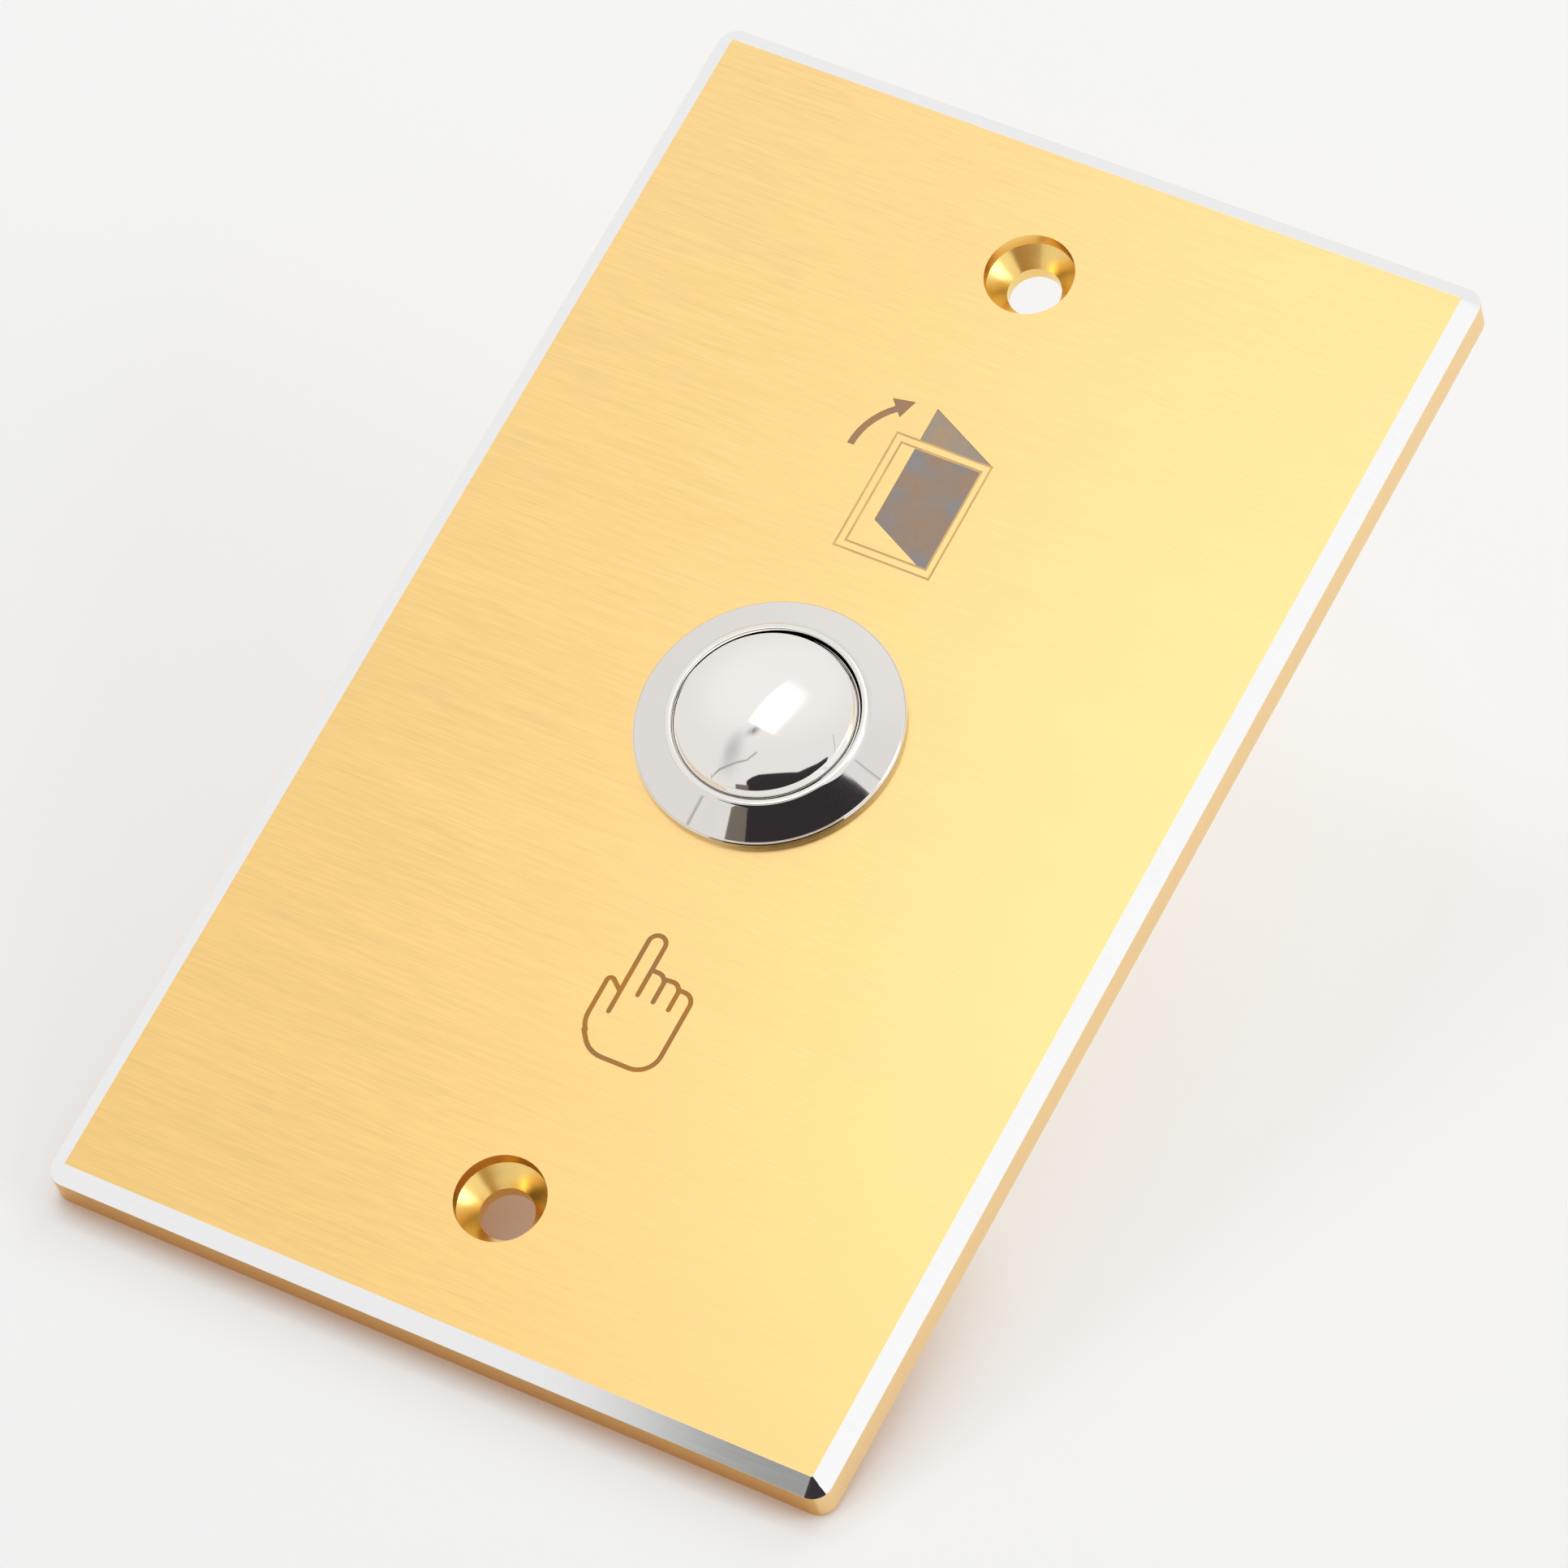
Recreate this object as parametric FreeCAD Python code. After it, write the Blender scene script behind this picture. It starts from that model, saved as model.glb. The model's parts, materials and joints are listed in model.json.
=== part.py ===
import FreeCAD
import Part
import math
import os

# Wall plate with a metal push button, millimetres.
# X runs across the plate, Z up the plate, and the face looks along -Y.
# The origin is the centre of the plate's back face, which lies on the wall, so Y < 0 is the room
# side and Y > 0 is inside the wall box. Heights above the face are counted towards -Y.

# Face plate
plate_w = 70.0
plate_h = 115.0
plate_t = 4.0
corner_r = 1.6
chamfer_w = 1.45
chamfer_d = 0.95
back_break = 0.2
fixing_pitch = 90.0
fixing_hole_r = 2.25
countersink_r = 3.75
countersink_half_angle = 45.0
countersink_sunk = 1.3
switch_hole_r = 9.6
spot_face_r = 13.5
spot_face_d = 0.5

# Sunk symbols, painted in
symbol_depth = 0.15
symbol_paint_t = 0.12
frame_line = 0.18
hand_line = 0.40
arrow_line = 0.60
leaf_left = -1.10
leaf_drop = 3.20
leaf_top = 30.98
leaf_bottom = 19.90
frame_outer_box = (-3.20, 16.55, 5.60, 27.85)
frame_inner_box = (-2.48, 17.26, 5.00, 27.16)

# Bezel and threaded barrel, one turned piece
bezel_r = 11.0
bezel_edge_h = 0.60
bezel_edge_round = 0.16
bezel_rim_h = 2.00
rim_outer_r = 8.15
rim_inner_r = 7.65
rim_crown_h = 2.08
rim_lip_round = 0.10
thread_r = 9.5
thread_depth = 0.55
thread_pitch = 1.0
thread_relief = 0.8
thread_lead_in = 0.1
thread_flank_share = 0.4
barrel_end_y = 13.5
web_front_y = 1.5
web_back_y = 3.5
guide_r = 4.0
contact_chamber_r = 7.4
base_seat_r = 7.8
base_seat_y = 10.62
circlip_t = 0.5
circlip_y = 12.4
circlip_groove_r = 8.35
circlip_gap = 4.0

# Seals
flange_seal_t = 0.5
flange_seal_r = (9.65, 10.3)
plunger_seal_y = (2.1, 2.9)
plunger_seal_r = (3.97, 4.9)

# Nut and toothed washer
washer_t = 0.8
washer_r = 12.0
washer_teeth = 12
washer_notch_d = 1.1
washer_notch_w = 1.8
nut_across_flats = 22.0
nut_t = 3.0
nut_chamfer_angle = 30.0

# Cap and plunger
stroke = 2.5
cap_r = 7.40
cap_edge_h = 2.20
dome_r = 7.16
dome_h = 2.44
dome_top_h = 4.10
cap_skirt_r = 7.6
cap_skirt_y = (-3.5, -2.1)
cap_hollow_r = 6.3
cap_ceiling_h = 1.2
tenon_r = 2.5
tenon_h = 2.6
plunger_r = 3.95
plunger_end_y = 4.7
clip_y = 3.52
clip_t = 0.5
clip_groove_r = 3.2
clip_r = 5.2
clip_gap = 2.4
nose_r = 1.5
nose_end_y = 7.5

# Springs
seat_t = 0.4
seat_r = (4.2, 7.55)
spring_wire_r = 0.25
spring_coil_r = 4.9
spring_turns = 5.0
contact_wire_r = 0.15
contact_coil_r = 2.0
contact_turns = 3.0
coil_stations = 16
wire_sides = 8

# Contacts
contact_x = 3.6
bridge_y = 6.0
bridge_t = 0.5
bridge_half_x = 5.3
bridge_half_z = 1.7
collar_r = 2.3
collar_t = 0.5
tip_r = 0.9
moving_tip_t = 0.6
fixed_tip_t = 0.5
contact_gap = 0.02
strip_t = 0.6
pad_inner_x = 2.4
pad_half_z = 1.5

# Terminal base, tabs, clamp washers and screws
base_plug_r = 7.78
base_block_r = 6.8
base_back_y = 17.9
barrier_half_x = 0.6
barrier_end_y = 20.7
leg_x = (5.5, 6.1)
leg_half_z = 1.2
tab_inner_x = 1.3
tab_half_z = 2.3
clamp_side = 4.6
clamp_t = 0.6
screw_r = 1.5
screw_head_r = 2.2
screw_head_t = 1.6
screw_head_round = 0.5
screw_tip_y = 14.0
cross_slot_l = 2.9
cross_slot_w = 0.6
cross_slot_d = 0.8

# Worked-out stations along Y
face_y = -plate_t
nut_y = washer_t - spot_face_d
cap_ceiling_y = face_y - cap_ceiling_h
bridge_back_y = bridge_y + bridge_t
moving_tip_end_y = bridge_back_y + moving_tip_t
fixed_tip_y = moving_tip_end_y + stroke + contact_gap
pad_y = fixed_tip_y + fixed_tip_t
clamp_y = base_back_y + strip_t
head_y = clamp_y + clamp_t
thread_root_r = thread_r - thread_depth
frame_right = frame_outer_box[2]

origin = FreeCAD.Vector(0, 0, 0)
y_axis = FreeCAD.Vector(0, 1, 0)


def turned(start, *steps):
    """Revolve a closed profile about Y. A step is an end point, or (middle, end) of an arc."""
    def point(p):
        return FreeCAD.Vector(p[0], p[1], 0)

    edges = []
    here = start
    for step in list(steps) + [start]:
        if isinstance(step[0], tuple):
            edges.append(Part.Arc(point(here), point(step[0]), point(step[1])).toShape())
            here = step[1]
        else:
            edges.append(Part.LineSegment(point(here), point(step)).toShape())
            here = step
    return Part.Solid(Part.Face(Part.Wire(edges)).revolve(origin, y_axis, 360))


def ring(inner_r, outer_r, y0, y1):
    """Flat ring about Y."""
    return turned((inner_r, y0), (outer_r, y0), (outer_r, y1), (inner_r, y1))


def rod(radius, y0, y1, x=0.0, z=0.0):
    """Round bar along Y."""
    return Part.makeCylinder(radius, y1 - y0, FreeCAD.Vector(x, y0, z), y_axis)


def block(x0, x1, y0, y1, z0, z1):
    """Box between two corners."""
    return Part.makeBox(x1 - x0, y1 - y0, z1 - z0, FreeCAD.Vector(x0, y0, z0))


def prism(corners, y0, y1):
    """Straight-sided prism along Y over (x, z) corners."""
    points = [FreeCAD.Vector(x, y0, z) for x, z in corners]
    face = Part.Face(Part.makePolygon(points + points[:1]))
    return face.extrude(FreeCAD.Vector(0, y1 - y0, 0))


def fused(shapes):
    """One solid out of touching or overlapping ones."""
    return shapes[0].multiFuse(shapes[1:]).removeSplitter()


def coil(wire_r, coil_r, y0, y1, turns):
    """Wire wound about Y between two planes: a many-sided section carried round in short runs."""
    rise = (y1 - y0 - 2 * wire_r) / (2 * math.pi * turns)
    around = [2 * math.pi * j / wire_sides for j in range(wire_sides)]
    sections = []
    for k in range(int(turns * coil_stations) + 1):
        a = 2 * math.pi * k / coil_stations
        out = FreeCAD.Vector(math.cos(a), 0, math.sin(a))
        along = FreeCAD.Vector(-coil_r * math.sin(a), rise, coil_r * math.cos(a)).normalize()
        up = along.cross(out)
        centre = out * coil_r + FreeCAD.Vector(0, y0 + wire_r + rise * a, 0)
        spokes = [out * math.cos(t) + up * math.sin(t) for t in around]
        sections.append([centre + spoke * wire_r for spoke in spokes])
    faces = []
    for here, there in zip(sections, sections[1:]):
        for j in range(wire_sides):
            a, b, c, d = here[j], here[j - 1], there[j - 1], there[j]
            faces.append(Part.Face(Part.makePolygon([a, b, c, a])))
            faces.append(Part.Face(Part.makePolygon([a, c, d, a])))
    for end in (sections[0], sections[-1]):
        faces.append(Part.Face(Part.makePolygon(end + end[:1])))
    return Part.Solid(Part.makeShell(faces))


def other_side(shape):
    """The same piece turned half a turn about Y."""
    return shape.rotated(origin, y_axis, 180)


# ---- sunk symbols: strokes drawn on the face and given the depth of the recess ----

def dot(p, width):
    """Round end of a stroke."""
    return rod(width / 2, face_y, face_y + symbol_depth, p[0], p[1])


def line(p, q, width):
    """Straight stroke with round ends."""
    length = math.hypot(q[0] - p[0], q[1] - p[1])
    nx = -(q[1] - p[1]) / length * width / 2
    nz = (q[0] - p[0]) / length * width / 2
    one_side = [(p[0] + nx, p[1] + nz), (q[0] + nx, q[1] + nz)]
    other_side_back = [(q[0] - nx, q[1] - nz), (p[0] - nx, p[1] - nz)]
    bar = prism(one_side + other_side_back, face_y, face_y + symbol_depth)
    return [bar, dot(p, width), dot(q, width)]


def arc(centre, radius, start_deg, end_deg, width):
    """Curved stroke with round ends, angles counted from +X towards +Z."""
    ends = []
    for angle in (start_deg, end_deg):
        a = math.radians(angle)
        ends.append((centre[0] + radius * math.cos(a), centre[1] + radius * math.sin(a)))
    edges = []
    for r in (radius - width / 2, radius + width / 2):
        points = []
        for angle in (start_deg, (start_deg + end_deg) / 2, end_deg):
            a = math.radians(angle)
            points.append(FreeCAD.Vector(centre[0] + r * math.cos(a), face_y, centre[1] + r * math.sin(a)))
        edges.append((Part.Arc(*points).toShape(), points[0], points[2]))
    closing = [Part.makeLine(edges[0][k], edges[1][k]) for k in (1, 2)]
    wire = Part.Wire(Part.__sortEdges__([edges[0][0], edges[1][0]] + closing))
    bar = Part.Face(wire).extrude(FreeCAD.Vector(0, symbol_depth, 0))
    return [bar] + [dot(p, width) for p in ends]


def outline(box, width):
    """Rectangular line running just inside a box."""
    x0, z0, x1, z1 = box
    outside = block(x0, x1, face_y, face_y + symbol_depth, z0, z1)
    inside = block(x0 + width, x1 - width, face_y, face_y + symbol_depth, z0 + width, z1 - width)
    return outside.cut(inside)


def pointing_hand():
    """Raised index finger, thumb to its left and three folded fingers to its right."""
    w = hand_line
    left, thumb, finger, middle, third, little = -1.36, 0.08, 1.54, 2.97, 4.42, 5.82
    top, bottom, base_r = -20.66, -31.12, 1.9
    tip_r_x = (finger - thumb) / 2
    strokes = arc((thumb + tip_r_x, top), tip_r_x, 0, 180, w)
    strokes += line((thumb, top), (thumb, -27.35), w)
    strokes += line((finger, top), (finger, -25.20), w)
    strokes += line((middle, -23.35), (middle, -25.28), w)
    strokes += line((third, -23.62), (third, -25.42), w)
    strokes += line((finger, -22.86), (2.15, -22.86), w)
    strokes += arc((2.15, -23.68), 0.82, 24, 90, w)
    strokes += line((middle, -23.18), (3.62, -23.12), w)
    strokes += arc((3.62, -23.92), 0.80, 22, 86, w)
    strokes += line((third, -23.58), (4.90, -23.58), w)
    strokes += arc((4.90, -24.50), 0.92, 0, 90, w)
    strokes += line((little, -24.50), (little, bottom + base_r), w)
    strokes += arc((little - base_r, bottom + base_r), base_r, -90, 0, w)
    strokes += line((little - base_r, bottom), (1.45, bottom), w)
    strokes += arc((1.45, bottom + 2.4), 2.4, -138, -90, w)
    strokes += line((-0.334, -30.326), (-0.98, -29.50), w)
    strokes += arc((0.94, -28.05), 2.30, 180, 219, w)
    strokes += line((left, -28.05), (left, -24.95), w)
    strokes += arc((left + 0.32, -24.98), 0.32, 60, 180, w)
    strokes += line((left + 0.48, -24.70), (thumb, -25.46), w)
    return fused(strokes)


def swing_arrow():
    """Curved arrow that swings up and to the right."""
    shaft = arc((-0.62, 25.40), 5.60, 128, 180, arrow_line)
    butt = shaft[:2]
    head = prism([(-4.98, 30.48), (-3.03, 30.84), (-3.63, 29.08)], face_y, face_y + symbol_depth)
    return fused(butt + [head])


def door_leaf():
    """The part of the open leaf that is seen through the frame."""
    right = frame_inner_box[2] - frame_line
    top = frame_inner_box[3] - frame_line
    sill = frame_inner_box[1] + frame_line
    run = (frame_right - leaf_left) / leaf_drop
    cut_x = leaf_left + (leaf_bottom - sill) * run
    corners = [(leaf_left, top), (right, top), (right, sill), (cut_x, sill), (leaf_left, leaf_bottom)]
    return prism(corners, face_y, face_y + symbol_depth)


def door_leaf_top():
    """The part of the leaf that stands above the frame."""
    sill = frame_outer_box[3]
    run = (frame_right - leaf_left) / leaf_drop
    tip_x = leaf_left + (leaf_top - sill) * run
    corners = [(leaf_left, sill), (tip_x, sill), (leaf_left, leaf_top)]
    return prism(corners, face_y, face_y + symbol_depth)


symbols = {
    "symbol_arrow": swing_arrow(),
    "symbol_frame_outer": outline(frame_outer_box, frame_line),
    "symbol_frame_inner": outline(frame_inner_box, frame_line),
    "symbol_leaf_top": door_leaf_top(),
    "symbol_leaf": door_leaf(),
    "symbol_hand": pointing_hand(),
}


# ---- face plate ----

def fixing_cutter(z):
    """Through hole of one fixing screw, with a countersink sunk below the face."""
    cone_y = face_y + countersink_sunk
    depth = (countersink_r - fixing_hole_r) / math.tan(math.radians(countersink_half_angle))
    cutter = turned(
        (0.0, face_y), (countersink_r, face_y), (countersink_r, cone_y),
        (fixing_hole_r, cone_y + depth), (fixing_hole_r, 0.0), (0.0, 0.0))
    return cutter.translated(FreeCAD.Vector(0, 0, z))


def rounded_rectangle(inset, y):
    """Closed outline of the plate, drawn in by inset, at one depth."""
    radius = corner_r - inset
    edges = []
    ends = []
    for k, (sx, sz) in enumerate(((1, 1), (-1, 1), (-1, -1), (1, -1))):
        points = []
        for turn in (0, 45, 90):
            a = math.radians(90 * k + turn)
            x = sx * (plate_w / 2 - corner_r) + radius * math.cos(a)
            z = sz * (plate_h / 2 - corner_r) + radius * math.sin(a)
            points.append(FreeCAD.Vector(x, y, z))
        if ends:
            edges.append(Part.makeLine(ends[-1], points[0]))
        edges.append(Part.Arc(*points).toShape())
        ends += [points[0], points[2]]
    edges.append(Part.makeLine(ends[-1], ends[0]))
    return Part.Wire(edges)


def face_plate():
    """Plate with a wide shallow chamfer round the face, a small break round the back and a spot face."""
    levels = [(chamfer_w, face_y), (0.0, face_y + chamfer_d), (0.0, -back_break), (back_break, 0.0)]
    body = Part.makeLoft([rounded_rectangle(inset, y) for inset, y in levels], True, True)
    cutters = [rod(switch_hole_r, face_y, 0.0), rod(spot_face_r, -spot_face_d, 0.0)]
    cutters += [fixing_cutter(z) for z in (-fixing_pitch / 2, fixing_pitch / 2)]
    return body.cut(cutters + list(symbols.values()))


def symbol_paint(recess):
    """Paint that fills the recess to just under the face."""
    sunk = symbol_depth - symbol_paint_t
    cover = block(-plate_w / 2, plate_w / 2, face_y, face_y + sunk, -plate_h / 2, plate_h / 2)
    return recess.cut(cover)


# ---- bezel, barrel and the pieces that clamp them ----

def switch_shell():
    """Bevelled bezel with a rounded rim, on a barrel with thread ridges and a guide web inside."""
    steps = [(guide_r, web_front_y), (guide_r, plunger_seal_y[0])]
    steps += [(plunger_seal_r[1], plunger_seal_y[0]), (plunger_seal_r[1], plunger_seal_y[1])]
    steps += [(guide_r, plunger_seal_y[1]), (guide_r, web_back_y), (contact_chamber_r, web_back_y)]
    steps += [(contact_chamber_r, base_seat_y), (base_seat_r, base_seat_y), (base_seat_r, circlip_y)]
    steps += [(circlip_groove_r, circlip_y), (circlip_groove_r, circlip_y + circlip_t)]
    steps += [(base_seat_r, circlip_y + circlip_t), (base_seat_r, barrel_end_y)]
    steps += [(thread_root_r, barrel_end_y)]
    ridges = int((barrel_end_y - face_y - thread_relief) / thread_pitch)
    flank = thread_pitch * thread_flank_share
    first_y = barrel_end_y - thread_lead_in
    for k in range(ridges):
        y = first_y - k * thread_pitch
        steps += [(thread_root_r, y), (thread_r, y - flank), (thread_r, y - thread_pitch + flank)]
    steps += [(thread_root_r, first_y - ridges * thread_pitch)]
    steps += [(thread_root_r, face_y), (flange_seal_r[0], face_y)]
    steps += [(flange_seal_r[0], face_y - flange_seal_t), (flange_seal_r[1], face_y - flange_seal_t)]
    steps += [(flange_seal_r[1], face_y), (bezel_r, face_y), (bezel_r, face_y - bezel_edge_h)]
    edge_end = (bezel_r - bezel_edge_round, face_y - bezel_edge_h - bezel_edge_round)
    edge_middle = (bezel_r - 0.3 * bezel_edge_round, face_y - bezel_edge_h - 0.7 * bezel_edge_round)
    steps += [(edge_middle, edge_end), (rim_outer_r, face_y - bezel_rim_h)]
    lip_r = rim_inner_r + rim_lip_round
    crown_y = face_y - rim_crown_h
    steps += [(((rim_outer_r + lip_r) / 2, crown_y), (lip_r, crown_y + 0.2 * rim_lip_round))]
    lip_middle = (rim_inner_r + 0.3 * rim_lip_round, crown_y + 0.5 * rim_lip_round)
    steps += [(lip_middle, (rim_inner_r, crown_y + 1.2 * rim_lip_round))]
    return turned((rim_inner_r, web_front_y), *steps)


def lock_washer():
    """Flat washer with teeth cut round its outside."""
    body = ring(switch_hole_r, washer_r, -spot_face_d, nut_y)
    notch_x = washer_r - washer_notch_d
    notch = block(notch_x, washer_r + 1.0, -spot_face_d, nut_y, -washer_notch_w / 2, washer_notch_w / 2)
    for k in range(washer_teeth):
        body = body.cut(notch.rotated(origin, y_axis, 360.0 * k / washer_teeth))
    return body


def hex_nut():
    """Thin hexagon nut with both rims chamfered."""
    corner = nut_across_flats / math.sqrt(3)
    turns = [math.radians(60 * k + 30) for k in range(6)]
    y0 = nut_y
    y1 = nut_y + nut_t
    hexagon = prism([(corner * math.cos(a), corner * math.sin(a)) for a in turns], y0, y1)
    rim = nut_across_flats / 2
    fall = (corner - rim) * math.tan(math.radians(nut_chamfer_angle))
    lathe = turned(
        (thread_r, y0), (rim, y0), (corner, y0 + fall), (corner, y1 - fall), (rim, y1),
        (thread_r, y1))
    return hexagon.common(lathe)


# ---- pieces that move with the cap ----

def push_cap():
    """Domed cap with a wider skirt and a socket for the plunger."""
    base_y = face_y - dome_h
    top_y = face_y - dome_top_h
    rise = dome_top_h - dome_h
    sphere_r = (dome_r ** 2 + rise ** 2) / (2 * rise)
    half = dome_r / 2
    middle = (half, top_y + sphere_r - math.sqrt(sphere_r ** 2 - half ** 2))
    edge_middle = (cap_r - 0.3 * (cap_r - dome_r), base_y + 0.3 * (dome_h - cap_edge_h))
    return turned(
        (0.0, top_y), (middle, (dome_r, base_y)), (edge_middle, (cap_r, face_y - cap_edge_h)),
        (cap_r, cap_skirt_y[0]),
        (cap_skirt_r, cap_skirt_y[0]), (cap_skirt_r, cap_skirt_y[1]), (cap_hollow_r, cap_skirt_y[1]),
        (cap_hollow_r, cap_ceiling_y), (tenon_r, cap_ceiling_y), (tenon_r, face_y - tenon_h),
        (0.0, face_y - tenon_h))


def plunger():
    """Stepped stem: tenon, guided shank with a clip groove, and a thin nose."""
    return turned(
        (0.0, face_y - tenon_h), (tenon_r, face_y - tenon_h), (tenon_r, cap_ceiling_y),
        (plunger_r, cap_ceiling_y), (plunger_r, clip_y), (clip_groove_r, clip_y),
        (clip_groove_r, clip_y + clip_t), (plunger_r, clip_y + clip_t), (plunger_r, plunger_end_y),
        (nose_r, plunger_end_y), (nose_r, nose_end_y), (0.0, nose_end_y))


def retaining_clip():
    """C-shaped clip in the plunger's groove."""
    gap = block(0.0, clip_r + 1, clip_y, clip_y + clip_t, -clip_gap / 2, clip_gap / 2)
    return ring(clip_groove_r, clip_r, clip_y, clip_y + clip_t).cut(gap)


def contact_bridge():
    """Flat bar across the plunger's nose."""
    bar = block(-bridge_half_x, bridge_half_x, bridge_y, bridge_back_y, -bridge_half_z, bridge_half_z)
    return bar.cut(rod(nose_r, bridge_y, bridge_back_y))


# ---- terminal base and what is on it ----

def fixed_contact():
    """Brass strip: a pad inside, a leg through the base and a tab under the screw."""
    pad = block(pad_inner_x, leg_x[1], pad_y, base_seat_y, -pad_half_z, pad_half_z)
    leg = block(leg_x[0], leg_x[1], pad_y, clamp_y, -leg_half_z, leg_half_z)
    tab = block(tab_inner_x, leg_x[1], base_back_y, clamp_y, -tab_half_z, tab_half_z)
    return fused([pad, leg, tab]).cut(rod(screw_r, base_back_y, clamp_y, contact_x))


def terminal_screw():
    """Pan-head screw with a cross recess."""
    head = rod(screw_head_r, head_y, head_y + screw_head_t, contact_x)
    rim = [e for e in head.Edges if e.BoundBox.YMin > head_y + screw_head_t - 1e-6]
    head = head.makeFillet(screw_head_round, rim)
    arm = cross_slot_l / 2
    half = cross_slot_w / 2
    y0 = head_y + screw_head_t - cross_slot_d
    y1 = head_y + screw_head_t
    across = block(contact_x - arm, contact_x + arm, y0, y1, -half, half)
    along = block(contact_x - half, contact_x + half, y0, y1, -arm, arm)
    return head.fuse(rod(screw_r, screw_tip_y, head_y, contact_x)).cut([across, along]).removeSplitter()


def clamp_washer():
    """Square washer under the screw head."""
    half = clamp_side / 2
    plate = block(contact_x - half, contact_x + half, clamp_y, head_y, -half, half)
    return plate.cut(rod(screw_r, clamp_y, head_y, contact_x))


def base_circlip():
    """Internal circlip that holds the base against its seat."""
    body = ring(base_block_r, circlip_groove_r, circlip_y, circlip_y + circlip_t)
    half = circlip_gap / 2
    return body.cut(block(-half, half, circlip_y, circlip_y + circlip_t, -circlip_groove_r - 1, 0.0))


def terminal_base():
    """Insulator: round plug and block, a barrier between the tabs, slots and screw holes."""
    plug = ring(0.0, base_plug_r, base_seat_y, circlip_y)
    stem = rod(base_block_r, base_seat_y, base_back_y)
    slab = block(-barrier_half_x, barrier_half_x, base_back_y, barrier_end_y, -base_block_r, base_block_r)
    barrier = slab.common(rod(base_block_r, base_back_y, barrier_end_y))
    cutters = []
    slot = block(leg_x[0], leg_x[1], base_seat_y, base_back_y, -leg_half_z, leg_half_z)
    hole = rod(screw_r, screw_tip_y, base_back_y, contact_x)
    for cutter in (slot, hole):
        cutters += [cutter, other_side(cutter)]
    return fused([plug, stem, barrier]).cut(cutters)


def tip(y0, y1):
    """Silver contact button."""
    return rod(tip_r, y0, y1, contact_x)


nodes = {
    "face_plate": face_plate(),
    "switch_shell": switch_shell(),
    "flange_seal": ring(flange_seal_r[0], flange_seal_r[1], face_y - flange_seal_t, face_y),
    "lock_washer": lock_washer(),
    "hex_nut": hex_nut(),
    "push_cap": push_cap(),
    "plunger": plunger(),
    "plunger_seal": ring(plunger_seal_r[0], plunger_seal_r[1], plunger_seal_y[0], plunger_seal_y[1]),
    "retaining_clip": retaining_clip(),
    "spring_seat": ring(seat_r[0], seat_r[1], web_front_y - seat_t, web_front_y),
    "return_spring": coil(spring_wire_r, spring_coil_r, cap_ceiling_y, web_front_y - seat_t, spring_turns),
    "contact_spring": coil(contact_wire_r, contact_coil_r, plunger_end_y, bridge_y, contact_turns),
    "contact_bridge": contact_bridge(),
    "bridge_collar": ring(nose_r, collar_r, bridge_back_y, bridge_back_y + collar_t),
    "terminal_base": terminal_base(),
    "base_circlip": base_circlip(),
}
pairs = {
    "bridge_tip": tip(bridge_back_y, moving_tip_end_y),
    "fixed_tip": tip(fixed_tip_y, pad_y),
    "fixed_contact": fixed_contact(),
    "clamp_washer": clamp_washer(),
    "terminal_screw": terminal_screw(),
}
for name, recess in symbols.items():
    nodes[name] = symbol_paint(recess)
for name, shape in pairs.items():
    nodes[name + "_right"] = shape
    nodes[name + "_left"] = other_side(shape)

os.makedirs("parts", exist_ok=True)
for name, shape in nodes.items():
    print(name, len(shape.Solids), "solids", shape.isValid(), round(shape.Volume, 2), "mm3")
    shape.exportStep("parts/" + name + ".step")
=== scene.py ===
import json
import math

import bmesh
import bpy
from mathutils import Euler, Matrix, Vector


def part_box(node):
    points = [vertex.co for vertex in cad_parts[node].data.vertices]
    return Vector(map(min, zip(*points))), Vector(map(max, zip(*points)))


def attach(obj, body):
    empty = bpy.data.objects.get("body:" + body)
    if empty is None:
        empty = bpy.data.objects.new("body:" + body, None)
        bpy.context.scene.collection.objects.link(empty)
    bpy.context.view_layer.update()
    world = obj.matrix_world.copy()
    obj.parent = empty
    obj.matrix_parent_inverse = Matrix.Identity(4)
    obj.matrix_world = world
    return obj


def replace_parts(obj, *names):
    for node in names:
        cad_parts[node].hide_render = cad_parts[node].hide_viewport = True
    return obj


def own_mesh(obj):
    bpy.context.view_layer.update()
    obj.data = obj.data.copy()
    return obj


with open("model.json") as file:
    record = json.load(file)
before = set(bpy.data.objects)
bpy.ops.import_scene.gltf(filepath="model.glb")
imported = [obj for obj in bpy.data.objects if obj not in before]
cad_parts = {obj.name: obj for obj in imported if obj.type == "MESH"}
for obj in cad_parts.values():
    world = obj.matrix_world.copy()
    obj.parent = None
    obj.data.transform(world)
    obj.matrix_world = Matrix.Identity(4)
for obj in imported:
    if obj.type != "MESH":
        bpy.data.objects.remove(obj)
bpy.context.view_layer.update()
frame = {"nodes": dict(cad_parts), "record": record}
scene = bpy.context.scene
nodes = frame["nodes"]


# ---------------------------------------------------------------- node helpers

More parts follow.
